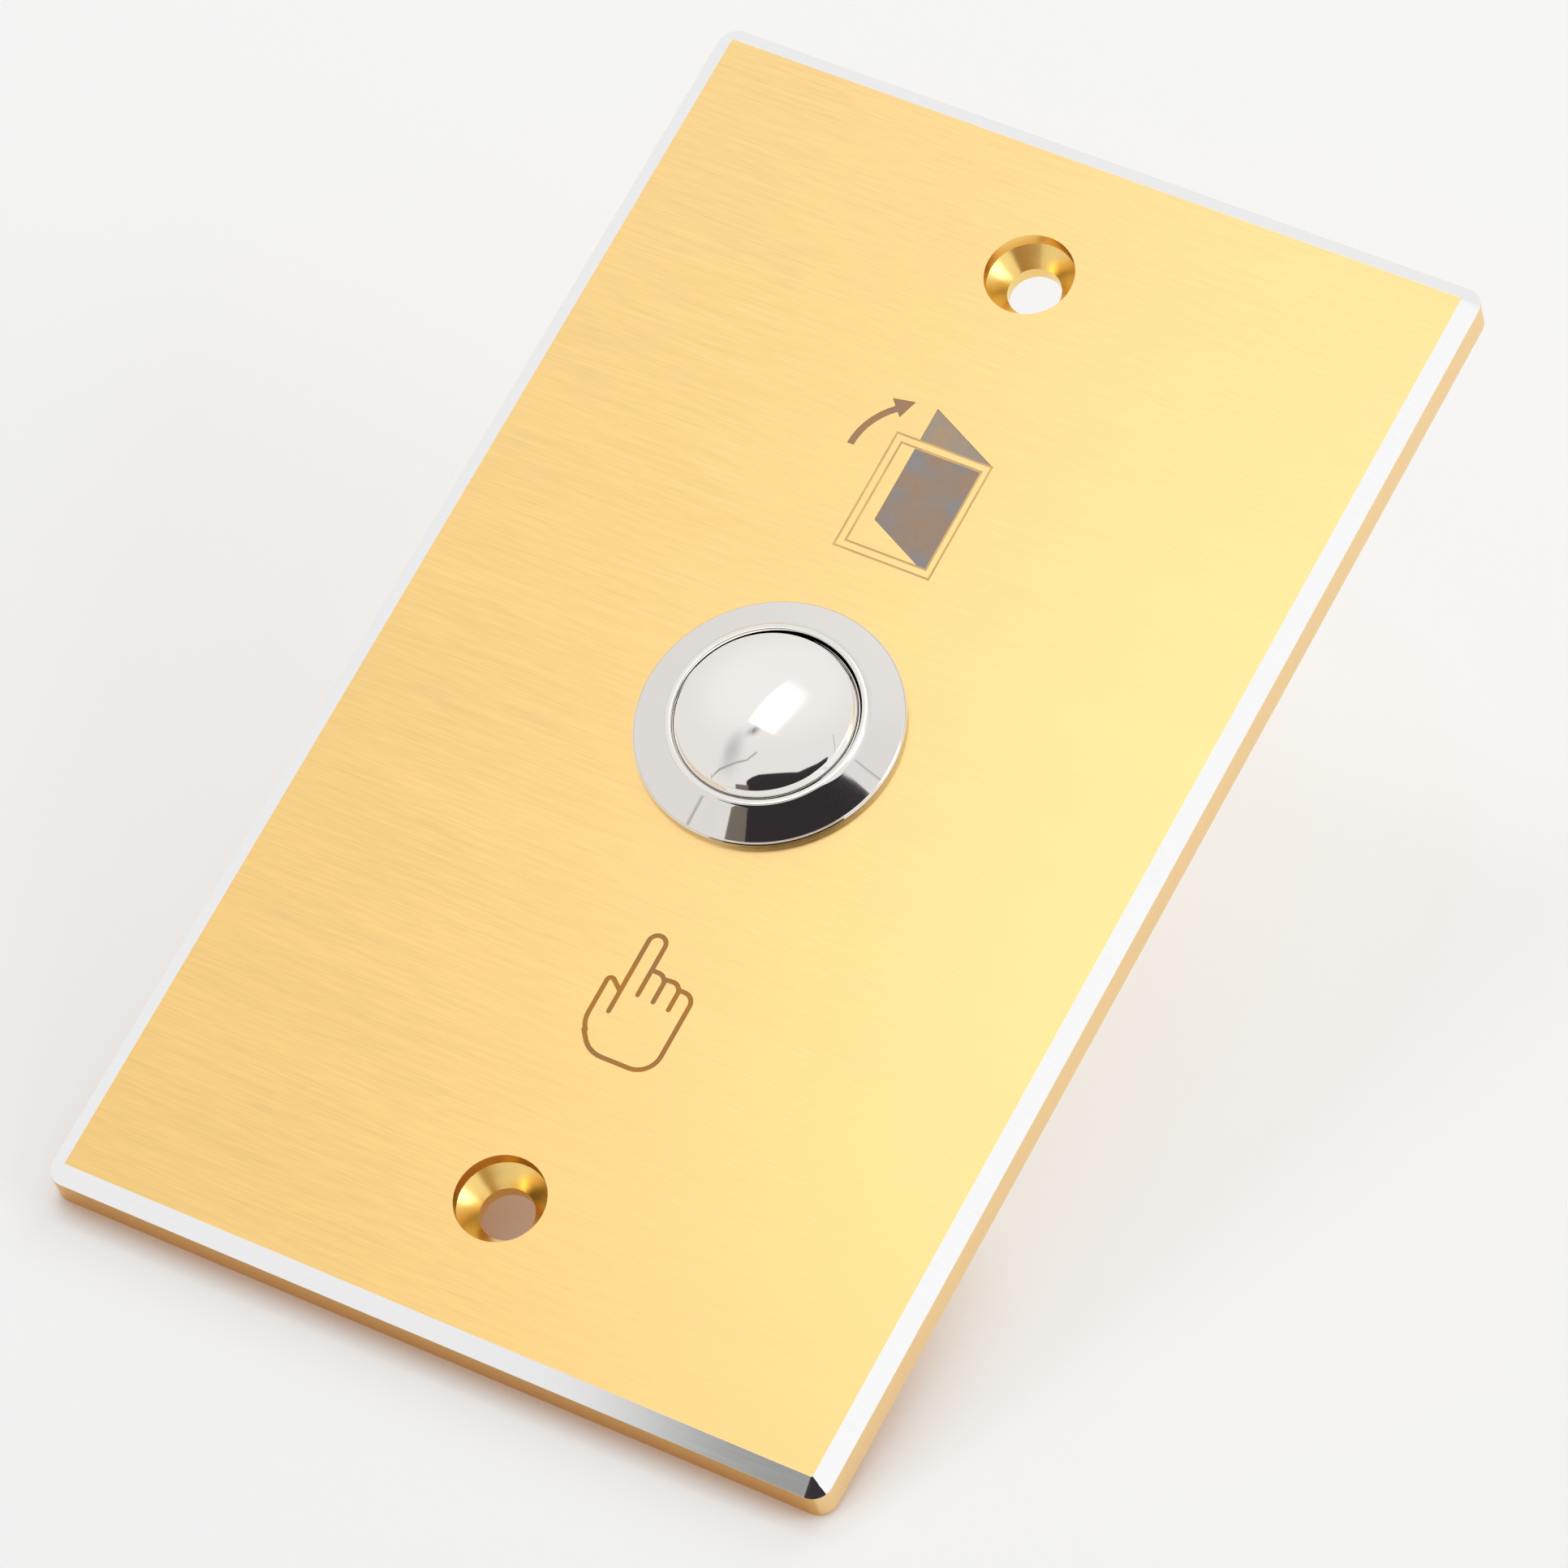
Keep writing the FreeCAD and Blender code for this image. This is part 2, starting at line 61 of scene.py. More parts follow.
class Shader:
    """A material's node tree with short calls for the nodes used here."""

    def __init__(self, name):
        self.mat = bpy.data.materials.new(name)
        self.mat.use_nodes = True
        self.tree = self.mat.node_tree
        self.tree.nodes.clear()
        self.out = self.tree.nodes.new("ShaderNodeOutputMaterial")
        self.coords = self.add("ShaderNodeTexCoord").outputs["Object"]

    def add(self, kind, **settings):
        node = self.tree.nodes.new(kind)
        for key, value in settings.items():
            setattr(node, key, value)
        return node

    def put(self, socket, value):
        if isinstance(value, bpy.types.NodeSocket):
            self.tree.links.new(value, socket)
        elif value is not None:
            is_colour = hasattr(socket.default_value, "__len__") and len(socket.default_value) == 4
            if is_colour and len(value) == 3:
                value = (*value, 1.0)
            socket.default_value = value

    def math(self, operation, a, b=None):
        node = self.add("ShaderNodeMath", operation=operation)
        for socket, value in zip(node.inputs, (a, b)):
            self.put(socket, value)
        return node.outputs[0]

    def xyz(self, vector=None):
        """The three parts of a vector, or of the place on the object."""
        node = self.add("ShaderNodeSeparateXYZ")
        self.put(node.inputs[0], vector or self.coords)
        return node.outputs

    def step(self, value, low, high):
        """0 below low, 1 above high, smooth between. Low above high turns it round."""
        node = self.add("ShaderNodeMapRange", interpolation_type="SMOOTHSTEP")
        self.put(node.inputs["Value"], value)
        rising = high > low
        node.inputs["From Min"].default_value = low if rising else high
        node.inputs["From Max"].default_value = high if rising else low
        node.inputs["To Min"].default_value = 0.0 if rising else 1.0
        node.inputs["To Max"].default_value = 1.0 if rising else 0.0
        return node.outputs[0]

    def noise(self, factors, detail=2.0, rough=0.5, offset=0.0):
        """Noise from about 0 to 1, with its own scale along each axis in cycles per metre."""
        stretched = self.add("ShaderNodeMapping")
        self.put(stretched.inputs["Vector"], self.coords)
        stretched.inputs["Scale"].default_value = factors
        node = self.add("ShaderNodeTexNoise", noise_dimensions="4D")
        self.put(node.inputs["Vector"], stretched.outputs[0])
        node.inputs["W"].default_value = offset
        node.inputs["Scale"].default_value = 1.0
        node.inputs["Detail"].default_value = detail
        node.inputs["Roughness"].default_value = rough
        return node.outputs[0]

    def mix(self, factor, a, b):
        node = self.add("ShaderNodeMix", data_type="RGBA")
        self.put(node.inputs["Factor"], factor)
        self.put(node.inputs["A"], a)
        self.put(node.inputs["B"], b)
        return node.outputs["Result"]

    def blend(self, factor, a, b):
        node = self.add("ShaderNodeMix", data_type="FLOAT")
        self.put(node.inputs["Factor"], factor)
        self.put(node.inputs["A"], a)
        self.put(node.inputs["B"], b)
        return node.outputs["Result"]

    def tint(self, colour, value):
        """Colour times a value."""
        node = self.add("ShaderNodeVectorMath", operation="SCALE")
        self.put(node.inputs[0], colour)
        self.put(node.inputs["Scale"], value)
        return node.outputs[0]

    def bump(self, height, distance, strength):
        node = self.add("ShaderNodeBump")
        self.put(node.inputs["Height"], height)
        node.inputs["Distance"].default_value = distance
        node.inputs["Strength"].default_value = strength
        return node.outputs[0]

    def emission(self, colour, strength=1.0):
        node = self.add("ShaderNodeEmission")
        self.put(node.inputs[0], colour)
        node.inputs[1].default_value = strength
        return node.outputs[0]

    def show(self, share, first, second):
        """The surface goes from the first shader to the second as the share rises."""
        pick = self.add("ShaderNodeMixShader")
        for socket, value in zip(pick.inputs, (share, first, second)):
            self.put(socket, value)
        self.tree.links.new(pick.outputs[0], self.out.inputs["Surface"])

    def principled(self, **values):
        node = self.add("ShaderNodeBsdfPrincipled")
        for key, value in values.items():
            self.put(node.inputs[key.replace("_", " ")], value)
        self.tree.links.new(node.outputs[0], self.out.inputs["Surface"])
        return node


def paint(material, *names):
    """Give CAD nodes a material in their own slots."""
    for name in names:
        target = nodes[name]
        if not target.data.materials:
            target.data.materials.append(material)
        for slot in target.material_slots:
            slot.material = material


# ---------------------------------------------------------------- where things are

plate_low, plate_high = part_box("face_plate")
spring_low, spring_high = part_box("return_spring")
face_y = plate_low.y
bevel_w = 0.00145
bevel_d = 0.00095
countersink_r = 0.00375
half_w = plate_high.x
half_h = plate_high.z
mounts = {m["name"]: m for m in frame["record"]["mounts"]}
half_pitch = mounts["fixing_holes"]["dims"]["spacing_y_mm"] / 2000


# ---------------------------------------------------------------- materials

def gold_plate():
    """Gold anodised aluminium, brushed across, with a bare machined bevel and polished countersinks."""
    s = Shader("gold_anodised")
    x, y, z = s.xyz()
    ax = s.math("ABSOLUTE", x)
    az = s.math("ABSOLUTE", z)
    blur = 0.00003
    inside_x = s.step(ax, half_w - bevel_w + blur, half_w - bevel_w - blur)
    inside_z = s.step(az, half_h - bevel_w + blur, half_h - bevel_w - blur)
    inside = s.math("MULTIPLY", inside_x, inside_z)
    front = s.step(y, face_y + bevel_d + blur, face_y + bevel_d - blur)
    bevel = s.math("MULTIPLY", front, s.math("SUBTRACT", 1.0, inside))
    hole_z = s.math("SUBTRACT", az, half_pitch)
    hole_r = s.math("SQRT", s.math("ADD", s.math("POWER", x, 2.0), s.math("POWER", hole_z, 2.0)))
    # A hole's surface lies within its radius, off the plate's face and off its back.
    in_hole = s.step(hole_r, countersink_r + 0.00014, countersink_r + 0.00010)
    in_hole = s.math("MULTIPLY", in_hole, s.step(y, face_y + 0.00002, face_y + 0.00004))
    in_hole = s.math("MULTIPLY", in_hole, s.step(y, -0.00004, -0.00006))
    face = s.math("MULTIPLY", s.step(y, face_y + 0.00006, face_y + 0.00002), inside)
    face = s.math("MULTIPLY", face, s.math("SUBTRACT", 1.0, in_hole))
    side = s.math("MULTIPLY", s.math("SUBTRACT", 1.0, front), s.step(y, -0.00015, -0.00025))
    side = s.math("MULTIPLY", side, s.math("SUBTRACT", 1.0, inside))

    coarse = s.noise((110, 110, 2300), 3.0, 0.6, 1.3)
    fine = s.noise((300, 300, 6500), 2.0, 0.6, 4.7)
    band = s.noise((14, 14, 160), 2.0, 0.5, 7.1)
    streak = s.math("ADD", s.math("MULTIPLY", coarse, 0.38), s.math("MULTIPLY", fine, 0.62))
    streak = s.math("SUBTRACT", streak, 0.5)
    cloud = s.noise((60, 60, 60), 3.0, 0.5, 2.2)

    face_tint = s.math("ADD", 1.0, s.math("MULTIPLY", streak, 0.50))
    face_tint = s.math("ADD", face_tint, s.math("MULTIPLY", s.math("SUBTRACT", band, 0.5), 0.08))
    # Painted light: the face's gold runs darker towards the lower left and lighter towards the upper
    # right, standing in for how the light falls on the plate.
    painted_light_ramp = s.math("ADD", 0.5, s.math("MULTIPLY", z, 0.5 / half_h))
    painted_light_ramp = s.math("ADD", painted_light_ramp, s.math("MULTIPLY", x, 0.12 / half_w))
    gold = s.tint(s.mix(painted_light_ramp, (0.928, 0.588, 0.146), (0.955, 0.650, 0.210)), face_tint)
    # Painted shade: the polished countersink gold turns darker and redder where ambient occlusion finds a
    # crevice.
    crevice = s.add("ShaderNodeAmbientOcclusion", samples=8)
    crevice.inputs["Distance"].default_value = 0.006
    polished_with_painted_shade = s.mix(s.step(crevice.outputs["AO"], 0.08, 0.65), (0.86, 0.59, 0.14), (0.96, 0.68, 0.24))
    # Painted shade: the plate's lower side face is a darker brown, standing in for the shadowed table it
    # faces and reflects.
    shaded_low_side = s.step(z, -half_h + 0.0003, -half_h + 0.0001)
    edge_gold = s.mix(shaded_low_side, (0.93, 0.66, 0.31), (0.77, 0.46, 0.13))
    edge_gold = s.tint(edge_gold, s.math("ADD", 0.94, s.math("MULTIPLY", cloud, 0.12)))
    back_gold = s.tint((0.88, 0.62, 0.27), s.math("ADD", 0.92, s.math("MULTIPLY", cloud, 0.16)))
    bare = s.tint((0.95, 0.95, 0.96), s.math("ADD", 0.97, s.math("MULTIPLY", fine, 0.06)))
    colour = s.mix(face, back_gold, gold)
    colour = s.mix(side, colour, edge_gold)
    colour = s.mix(in_hole, colour, polished_with_painted_shade)
    colour = s.mix(bevel, colour, bare)

    face_rough = s.math("ADD", 0.36, s.math("MULTIPLY", streak, 0.22))
    rough = s.blend(face, 0.42, face_rough)
    rough = s.blend(side, rough, 0.34)
    rough = s.blend(in_hole, rough, 0.21)
    rough = s.blend(bevel, rough, s.math("ADD", 0.04, s.math("MULTIPLY", fine, 0.05)))

    grooves = s.math("MULTIPLY", streak, s.math("SUBTRACT", 1.0, in_hole))
    grooves = s.math("MULTIPLY", grooves, s.math("SUBTRACT", 1.0, bevel))
    brushed = s.blend(face, 0.0, 0.65)
    upright = s.add("ShaderNodeCombineXYZ")
    upright.inputs[2].default_value = 1.0
    s.principled(
        Base_Color=colour, Metallic=1.0, Roughness=rough, Anisotropic=brushed,
        Coat_Weight=face, Coat_Roughness=0.25, Coat_IOR=2.0,
        Tangent=upright.outputs[0], Normal=s.bump(grooves, 0.000012, 0.6))
    return s.mat


def polished_nickel(name, threaded, painted_brightness=1.0):
    """Mirror-polished nickel with faint polishing haze. Behind the plate the thread is satin."""
    s = Shader(name)
    haze = s.noise((420, 420, 420), 4.0, 0.6, 3.3)
    drift = s.noise((90, 90, 90), 2.0, 0.5, 8.8)
    depth = s.xyz()[1]
    behind = s.step(depth, face_y - 0.00002, face_y + 0.00002) if threaded else 0.0
    even = s.math("ADD", 0.975, s.math("MULTIPLY", drift, 0.05))
    shine = s.tint((0.82, 0.80, 0.775), s.math("MULTIPLY", painted_brightness, even))
    satin = s.tint((0.66, 0.64, 0.60), s.math("ADD", 0.85, s.math("MULTIPLY", haze, 0.3)))
    colour = s.mix(behind, shine, satin)
    rough = s.blend(behind, s.math("ADD", 0.025, s.math("MULTIPLY", haze, 0.03)),
                    s.math("ADD", 0.22, s.math("MULTIPLY", haze, 0.2)))
    normal = s.bump(drift, 0.000004, 0.5)
    s.principled(Base_Color=colour, Metallic=1.0, Roughness=rough, Normal=normal)
    return s.mat


def plated(name, colour, rough, grain=900, streaks=(1, 1, 1)):
    """Plated or stamped metal: mottled reflectance, uneven gloss and a fine grain."""
    s = Shader(name)
    factors = tuple(grain * k for k in streaks)
    fine = s.noise(factors, 4.0, 0.6, 1.1)
    broad = s.noise(tuple(f * 0.15 for f in factors), 3.0, 0.5, 5.5)
    both = s.math("ADD", s.math("MULTIPLY", fine, 0.12), s.math("MULTIPLY", broad, 0.16))
    tone = s.math("ADD", 0.86, both)
    gloss = s.math("ADD", rough * 0.6, s.math("MULTIPLY", broad, rough * 0.8))
    s.principled(Base_Color=s.tint(colour, tone), Metallic=1.0, Roughness=gloss,
                 Normal=s.bump(fine, 0.00001, 0.5))
    return s.mat


def symbol_paint(name, colour, lift, metallic=0.25):
    """Marking filled into the plate: matt, mottled, with the laser's fine raster across it."""
    s = Shader(name)
    mottle = s.noise((900, 900, 900), 4.0, 0.65, 6.4)
    tone = s.noise((260, 260, 260), 2.0, 0.5, 2.9)
    height = s.xyz()[2]
    raster_pitch = 0.00012
    raster = s.math("SINE", s.math("MULTIPLY", height, 2 * math.pi / raster_pitch))
    level = s.math("ADD", 0.86, s.math("MULTIPLY", mottle, 0.28))
    level = s.math("ADD", level, s.math("MULTIPLY", raster, 0.03))
    base = s.mix(s.step(tone, 0.38, 0.62), colour, lift)
    s.principled(
        Base_Color=s.tint(base, level), Metallic=metallic,
        Roughness=s.math("ADD", 0.42, s.math("MULTIPLY", mottle, 0.2)),
        Normal=s.bump(s.math("ADD", mottle, s.math("MULTIPLY", raster, 0.2)), 0.00002, 0.5))
    return s.mat


def moulded(name, colour, rough, grain):
    """Moulded plastic or rubber: fine spark-eroded grain and slightly uneven gloss."""
    s = Shader(name)
    fine = s.noise((grain, grain, grain), 5.0, 0.6, 3.1)
    broad = s.noise((grain * 0.1, grain * 0.1, grain * 0.1), 2.0, 0.5, 9.4)
    both = s.math("ADD", s.math("MULTIPLY", fine, 0.15), s.math("MULTIPLY", broad, 0.15))
    tone = s.math("ADD", 0.85, both)
    gloss = s.math("ADD", rough - 0.06, s.math("MULTIPLY", broad, 0.12))
    s.principled(Base_Color=s.tint(colour, tone), Roughness=gloss, Specular_IOR_Level=0.45,
                 Normal=s.bump(fine, 0.00003, 0.6))
    return s.mat


steel = plated("spring_steel", (0.58, 0.58, 0.59), 0.25, 1500, (1, 1, 0.2))
paint(gold_plate(), "face_plate")
paint(symbol_paint("leaf_paint", (0.45, 0.31, 0.22), (0.35, 0.335, 0.34)), "symbol_leaf")
paint(symbol_paint("leaf_top_paint", (0.56, 0.39, 0.25), (0.47, 0.39, 0.31)), "symbol_leaf_top")
paint(symbol_paint("hand_paint", (0.53, 0.24, 0.04), (0.46, 0.23, 0.07), 0.5), "symbol_hand")
paint(symbol_paint("arrow_paint", (0.52, 0.27, 0.11), (0.42, 0.27, 0.19), 0.4), "symbol_arrow")
paint(symbol_paint("frame_line_paint", (0.92, 0.62, 0.24), (0.80, 0.53, 0.24), 0.4), "symbol_frame_outer",
      "symbol_frame_inner")
paint(plated("nickel_hardware", (0.72, 0.70, 0.66), 0.28), "lock_washer", "hex_nut", "clamp_washer_left",
      "clamp_washer_right", "terminal_screw_left", "terminal_screw_right")
paint(steel, "retaining_clip", "spring_seat", "contact_spring", "bridge_collar", "base_circlip")
paint(moulded("seal_rubber", (0.03, 0.03, 0.032), 0.6, 2500), "flange_seal", "plunger_seal")
paint(moulded("stem_plastic", (0.82, 0.80, 0.74), 0.45, 1800), "plunger")
paint(moulded("base_plastic", (0.035, 0.035, 0.04), 0.42, 3000), "terminal_base")
paint(plated("contact_brass", (0.83, 0.60, 0.25), 0.24, 1200, (1, 1, 0.3)),
      "contact_bridge", "fixed_contact_left", "fixed_contact_right")
paint(plated("contact_silver", (0.90, 0.89, 0.86), 0.2),
      "bridge_tip_left", "bridge_tip_right", "fixed_tip_left", "fixed_tip_right")


# ---------------------------------------------------------------- turned pieces

nickel = polished_nickel("turned_nickel", True)
# Painted light: the cap's nickel is a brighter copy of the bezel's, standing in for more light on the
# dome.
mirror = polished_nickel("turned_cap", False, 1.075)


def arc(centre, radius, start, end, count):
    """Points of a profile arc as (radius, height), angles in degrees from straight up towards the rim."""
    points = []
    for k in range(count + 1):
        a = math.radians(start + (end - start) * k / count)
        points.append((centre[0] + radius * math.sin(a), centre[1] + radius * math.cos(a)))
    return points


def corner_at(ring, k):
    """One corner of a ring, or the middle where the ring is a single point."""
    return ring[k] if len(ring) > 1 else ring[0]


def skin(mesh, rings):
    """Join rings of corners into a closed solid, one ring to the next."""
    for here, there in zip(rings, rings[1:]):
        for j in range(len(here)):
            mesh.faces.new((here[j - 1], here[j], there[j], there[j - 1]))
    mesh.faces.new(rings[0])
    mesh.faces.new(list(reversed(rings[-1])))
    bmesh.ops.recalc_face_normals(mesh, faces=mesh.faces)


def turned(name, profile, body, stands_for, material, centre=(0.0, 0.0), sides=288):
    """Turn a profile about the switch's axis: (radius, height above the plate's face) in millimetres."""
    mesh = bmesh.new()
    rows = []
    for radius, height in profile:
        y = face_y - height / 1000
        if radius < 1e-6:
            rows.append([mesh.verts.new((centre[0], y, centre[1]))])
            continue
        row = []
        for k in range(sides):
            a = 2 * math.pi * k / sides
            x = centre[0] + radius / 1000 * math.cos(a)
            row.append(mesh.verts.new((x, y, centre[1] + radius / 1000 * math.sin(a))))
        rows.append(row)
    pairs = list(zip(rows, rows[1:]))
    if len(rows[0]) > 1:
        pairs.append((rows[-1], rows[0]))
    for here, there in pairs:
        for k in range(sides):
            places = ((here, k - 1), (here, k), (there, k), (there, k - 1))
            corners = dict.fromkeys(corner_at(ring, j) for ring, j in places)
            mesh.faces.new(list(corners))
    bmesh.ops.recalc_face_normals(mesh, faces=mesh.faces)
    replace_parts(finished(name, mesh, body, material), stands_for)


def finished(name, mesh, body, material):
    """Make an object of a mesh, shaded smooth but for its corners, and let it ride on a body."""
    data = bpy.data.meshes.new(name)
    mesh.to_mesh(data)
    mesh.free()
    for polygon in data.polygons:
        polygon.use_smooth = True
    data.set_sharp_from_angle(angle=math.radians(28))
    piece = bpy.data.objects.new(name, data)
    scene.collection.objects.link(piece)
    data.materials.append(material)
    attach(piece, body)
    return piece


def cap():
    """Domed cap with a steep shoulder. It sits a hair off centre in its bezel, down and to the left."""
    dome_top, dome_radius, dome_edge, corner, steep, flange = 4.10, 16.27, 7.06, 0.14, 58.0, 7.44
    tilt = math.degrees(math.asin(dome_edge / dome_radius))
    dome = arc((0.0, dome_top - dome_radius), dome_radius, 0.0, tilt, 60)
    dome[0] = (0.0, dome_top)
    inward = math.radians(tilt)
    pivot = (dome[-1][0] - corner * math.sin(inward), dome[-1][1] - corner * math.cos(inward))
    shoulder = arc(pivot, corner, tilt, steep, 10)[1:]
    run = flange - shoulder[-1][0]
    fall = run * math.tan(math.radians(steep))
    shoulder += [(flange - run * k / 4, shoulder[-1][1] - fall * (1 - k / 4)) for k in (3, 2, 1, 0)]
    below = [(7.46, 1.70), (7.55, 1.66), (7.55, -1.9), (6.3, -1.9), (6.3, 1.2), (2.5, 1.2), (2.5, 2.6),
             (0.0, 2.6)]
    turned("cap_turned", dome + shoulder + below, "button", "push_cap", mirror, (-0.00006, -0.00007))


def shell():
    """Bezel with a flat land round the cap, on the barrel."""
    land, lip, step = 2.07, 0.12, 0.10
    profile = [(7.65, -5.5), (7.65, 1.0), (7.65, land - lip - 0.2)]
    profile += arc((7.65 + lip, land - lip), lip, -90.0, 0.0, 12)
    profile += arc((8.07, land - step), step, 0.0, 90 - 24.7, 10)
    profile += [(8.2, 1.975), (8.5, 1.838), (9.5, 1.378), (10.5, 0.917), (10.82, 0.770)]
    profile += arc((10.75, 0.6), 0.17, 24.7, 90.0, 10)[1:-1]
    profile += [(11.0, 0.56), (11.0, 0.30), (11.0, 0.05), (10.96, 0.0), (10.3, 0.0), (10.3, 0.5),
                (9.65, 0.5), (9.65, 0.0)]
    profile += [(8.97, 0.0), (8.97, -17.4), (8.87, -17.5), (7.8, -17.5), (7.8, -16.9), (8.35, -16.9),
                (8.35, -16.4), (7.8, -16.4), (7.8, -14.62), (7.4, -14.62), (7.4, -7.5), (4.0, -7.5),
                (4.0, -6.9), (4.9, -6.9), (4.9, -6.1), (4.0, -6.1), (4.0, -5.5)]
    turned("shell_turned", profile, "plate", "switch_shell", nickel)


def thread():
    """The barrel's thread: a ridge that winds down it and runs out at both ends."""
    pitch, root, crest, stub = 1.0, 8.93, 9.5, 0.05
    first, last, per_turn = -0.9, -17.3, 96
    turns = (first - last) / pitch - 1
    count = int(turns * per_turn)
    mesh = bmesh.new()
    rings = []
    for k in range(count + 1):
        a = 2 * math.pi * k / per_turn
        run = min(k, count - k, per_turn // 4) / (per_turn // 4)
        top = first - pitch * k / per_turn
        tall = root + stub + (crest - root - stub) * run
        ring = []
        flanks = ((root, top), (tall, top - 0.42), (tall, top - 0.58), (root, top - pitch))
        for radius, height in flanks:
            x = radius / 1000 * math.cos(a)
            ring.append(mesh.verts.new((x, face_y - height / 1000, radius / 1000 * math.sin(a))))
        rings.append(ring)
    skin(mesh, rings)
    finished("shell_thread", mesh, "plate", nickel)


cap()
shell()
thread()


# ---------------------------------------------------------------- return spring

def spring():
    """Round wire coil with closed ends, in the CAD coil's own space."""
    wire = 0.00025
    middle = Vector(((spring_low.x + spring_high.x) / 2, 0, (spring_low.z + spring_high.z) / 2))
    radius = (spring_high.x - spring_low.x) / 2 - wire
    low = spring_low.y + wire
    height = spring_high.y - spring_low.y - 2 * wire
    turns, per_turn, sides = 6.0, 40, 10
    count = int(turns * per_turn)
    mesh = bmesh.new()
    rings = []
    for k in range(count + 1):
        a = 2 * math.pi * k / per_turn
        share = k / count
        closed = 1.0 / turns
        run = min(max((share - closed * 0.8) / (1 - 1.6 * closed), 0.0), 1.0)
        lift = low + wire * min(share / closed, 1.0)
        lift += (height - 2 * wire) * run + wire * max((share - 1 + closed) / closed, 0.0)
        out = Vector((math.cos(a), 0, math.sin(a)))
        centre = middle + out * radius + Vector((0, lift, 0))
        ring = []
        for j in range(sides):
            t = 2 * math.pi * j / sides
            around = out * (wire * math.cos(t)) + Vector((0, wire * math.sin(t), 0))
            ring.append(mesh.verts.new(centre + around))
        rings.append(ring)
    skin(mesh, rings)
    data = bpy.data.meshes.new("return_spring_coil")
    mesh.to_mesh(data)
    mesh.free()
    for polygon in data.polygons:
        polygon.use_smooth = len(polygon.vertices) == 4
    coil = bpy.data.objects.new("return_spring_coil", data)
    scene.collection.objects.link(coil)
    data.materials.append(steel)
    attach(coil, "plate")
    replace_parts(coil, "return_spring")
    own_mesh(coil)


spring()


# ---------------------------------------------------------------- stage, light and camera

# The plate leans back: its lower rear edge and the rear end of the switch rest on the table. The
# share is how far that end reaches down, against the widest part of the terminal base.
foot = Vector((0, 0, -half_h))
block_low, block_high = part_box("terminal_base")
end_share = 0.867
rear = Vector((0, block_high.y, block_low.z * end_share))
lean = math.atan2(rear.y - foot.y, rear.z - foot.z)
table_up = Vector((0, -math.cos(lean), math.sin(lean)))
table_along = Vector((0, math.sin(lean), math.cos(lean)))


def stage_sheet(name, corners, material, seen=True, lit=True):
    mesh = bpy.data.meshes.new(name)
    mesh.from_pydata([tuple(c) for c in corners], [], [tuple(range(len(corners)))])
    sheet = bpy.data.objects.new(name, mesh)
    scene.collection.objects.link(sheet)
    mesh.materials.append(material)
    sheet.visible_camera = seen
    if not lit:
        sheet.visible_diffuse = False
        sheet.visible_shadow = False
    return sheet


def table_material():
    """Matt white sheet on a light box, with painted shade, dim and warm, under the plate; clear from
    underneath.
    """
    s = Shader("table_white")
    soft = s.noise((6, 6, 6), 2.0, 0.5, 4.0)
    tone = s.math("ADD", 0.98, s.math("MULTIPLY", soft, 0.04))
    # Painted shade: ambient occlusion dims the table's glow and colour and warms them under the plate,
    # standing in for its shadow and the gold's bounce light.
    shade = s.add("ShaderNodeAmbientOcclusion", samples=8)
    shade.inputs["Distance"].default_value = 0.015
    open_sky = s.step(shade.outputs["AO"], 0.08, 0.80)
    floor_glow_shaded = s.mix(open_sky, (0.20, 0.09, 0.035), (0.50, 0.50, 0.50))
    sheet = s.mix(open_sky, (0.36, 0.26, 0.16), (0.54, 0.54, 0.542))
    top = s.principled(
        Base_Color=s.tint(sheet, tone), Roughness=0.7, Specular_IOR_Level=0.2,
        Emission_Color=floor_glow_shaded, Emission_Strength=1.0)
    clear = s.add("ShaderNodeBsdfTransparent")
    side = s.add("ShaderNodeNewGeometry")
    s.show(side.outputs["Backfacing"], top.outputs[0], clear.outputs[0])
    return s.mat


def glow(name, colour):
    s = Shader(name)
    s.tree.links.new(s.emission(colour), s.out.inputs["Surface"])
    return s.mat


reach = 2.5
side_way = Vector((1, 0, 0))
table = [foot - side_way * reach - table_along * reach, foot + side_way * reach - table_along * reach,
         foot + side_way * reach + table_along * reach, foot - side_way * reach + table_along * reach]
table_sheet = stage_sheet("table", table, table_material())
if table_sheet.data.polygons[0].normal.dot(table_up) < 0:
    table_sheet.data.flip_normals()

camera = bpy.data.objects.new("camera", bpy.data.cameras.new("camera"))
scene.collection.objects.link(camera)
camera.location = Vector((0.26353, face_y - 0.61924, -0.25934))
camera.rotation_euler = Euler([math.radians(a) for a in (113.6236, -27.5964, 11.3288)], "XYZ")
camera.data.lens = 209.84
camera.data.sensor_width = 36.0
camera.data.clip_start = 0.05
camera.data.clip_end = 20.0
scene.camera = camera

# Cards round the camera, seen only in the metal. A corner is its place right of and above the lens,
# in shares of the card's distance.
turn = camera.rotation_euler.to_matrix()
right, up, back = turn.col[0], turn.col[1], turn.col[2]


def card(name, outline, material, distance=0.80):
    corners = [(back + right * a + up * b) * distance for a, b in outline]
    stage_sheet(name, corners, material, seen=False, lit=False)


